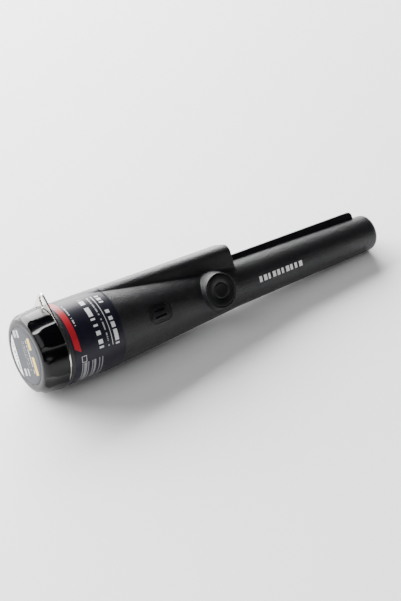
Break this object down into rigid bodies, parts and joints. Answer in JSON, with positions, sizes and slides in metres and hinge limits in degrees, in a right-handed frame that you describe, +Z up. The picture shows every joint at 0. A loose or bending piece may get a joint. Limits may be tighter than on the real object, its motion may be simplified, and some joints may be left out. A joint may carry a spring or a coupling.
{
  "type": "metal detecting pinpointer probe",
  "caption": "Hand-held pinpointer probe with a tapering dark body, screw cap, lanyard ring, side button, sound grille, lamp fairing and scraper blade.",
  "frame": {"origin": "centre of the footprint on the ground, below the middle of the tool's length", "axes": "+X from the cap towards the probe's tip, +Z up, +Y away from the side with the button; the tool lies rolled back by 33 degrees"},
  "size_m": [0.2309, 0.0448, 0.0523],
  "materials": {
    "shell_plastic": "matte",
    "blade_plastic": "matte",
    "label_film": "satin",
    "trim_plastic": "satin",
    "lens_clear": "gloss",
    "lamp_epoxy": "gloss",
    "tinned_copper": "satin",
    "button_rubber": "matte",
    "white_nylon": "satin",
    "chip_plastic": "matte",
    "steel_parts": "satin",
    "cap_plastic": "gloss",
    "end_film": "satin",
    "seal_rubber": "matte",
    "foam": "matte",
    "nickel_plate": "gloss",
    "battery_jacket": "satin",
    "board_plain": "matte",
    "lead_sleeve": "satin",
    "inner_plastic": "matte",
    "board_mask": "satin",
    "capacitor_sleeve": "satin",
    "trimmer_blue": "satin",
    "brass_parts": "satin",
    "sounder_plastic": "matte",
    "tungsten": "satin",
    "potting": "gloss",
    "former_plastic": "matte",
    "ferrite": "matte",
    "enamelled_wire": "gloss"
  },
  "bodies": {
    "housing": {"body_shell": "shell_plastic", "scraper_blade": "blade_plastic", "body_label": "label_film", "speaker_grille": "trim_plastic", "lamp_lens": "lens_clear", "lamp": "lamp_epoxy", "lamp_leads": "tinned_copper", "switch_case": "chip_plastic", "cap_seal": "seal_rubber", "battery": "battery_jacket", "battery_studs": "nickel_plate", "contact_plate": "board_plain", "snap_contacts": "nickel_plate", "battery_leads": "lead_sleeve", "board_sled": "inner_plastic", "sled_screws": "steel_parts", "circuit_board": "board_mask", "controller_chip": "chip_plastic", "amplifier_chip": "chip_plastic", "capacitors": "capacitor_sleeve", "chip_resistors": "chip_plastic", "crystal": "steel_parts", "trimmer_body": "trimmer_blue", "sounder": "sounder_plastic", "sounder_gasket": "foam", "motor_can": "steel_parts", "motor_clip": "inner_plastic", "potting_plug": "potting", "coil_former": "former_plastic", "ferrite_rod": "ferrite", "transmit_coil": "enamelled_wire", "receive_coil": "enamelled_wire", "coil_leads": "enamelled_wire", "tip_foam": "foam"},
    "button": {"button_boot": "button_rubber", "button_stem": "white_nylon"},
    "plunger": {"switch_plunger": "steel_parts"},
    "pressure_plate": {"pressure_disc": "white_nylon", "foam_pad": "foam"},
    "cap": {"cap": "cap_plastic", "end_label": "end_film"},
    "ring": {"lanyard_ring": "nickel_plate"},
    "motor_rotor": {"motor_weight": "tungsten"},
    "trim_rotor": {"trimmer_rotor": "brass_parts"}
  },
  "joints": [
    {"name": "button_press", "type": "slide", "parent": "housing", "child": "button", "axis": [-0.0329, 0.8387, -0.5436], "range_m": [0, 0.0006], "stiffness_N_per_m": 3000},
    {"name": "plunger_press", "type": "slide", "parent": "housing", "child": "plunger", "axis": [-0.0329, 0.8387, -0.5436], "range_m": [0, 0.0007]},
    {"name": "cap_advance", "type": "slide", "parent": "housing", "child": "pressure_plate", "axis": [-0.9982, 0, 0.0603], "range_m": [0, 0.0061]},
    {"name": "cap_turn", "type": "hinge", "parent": "pressure_plate", "child": "cap", "pos_m": [-0.11447, 0, 0.02409], "axis": [-0.9982, 0, 0.0603], "range_deg": [0, 720]},
    {"name": "ring_swivel", "type": "hinge", "parent": "housing", "child": "ring", "pos_m": [-0.11447, 0, 0.02409], "axis": [0.9982, 0, -0.0603], "continuous": true},
    {"name": "motor_spin", "type": "hinge", "parent": "housing", "child": "motor_rotor", "pos_m": [-0.02286, 0.00295, 0.01501], "axis": [0.9982, 0, -0.0603], "continuous": true},
    {"name": "trimmer_turn", "type": "hinge", "parent": "housing", "child": "trim_rotor", "pos_m": [-0.02447, 0.00176, 0.02138], "axis": [0.0329, -0.8387, 0.5436], "range_deg": [-135, 135]}
  ],
  "couplings": [
    {"joint": "plunger_press", "follows": "button_press", "ratio": 1},
    {"joint": "cap_advance", "follows": "cap_turn", "m_per_rad": 0.00047746}
  ]
}
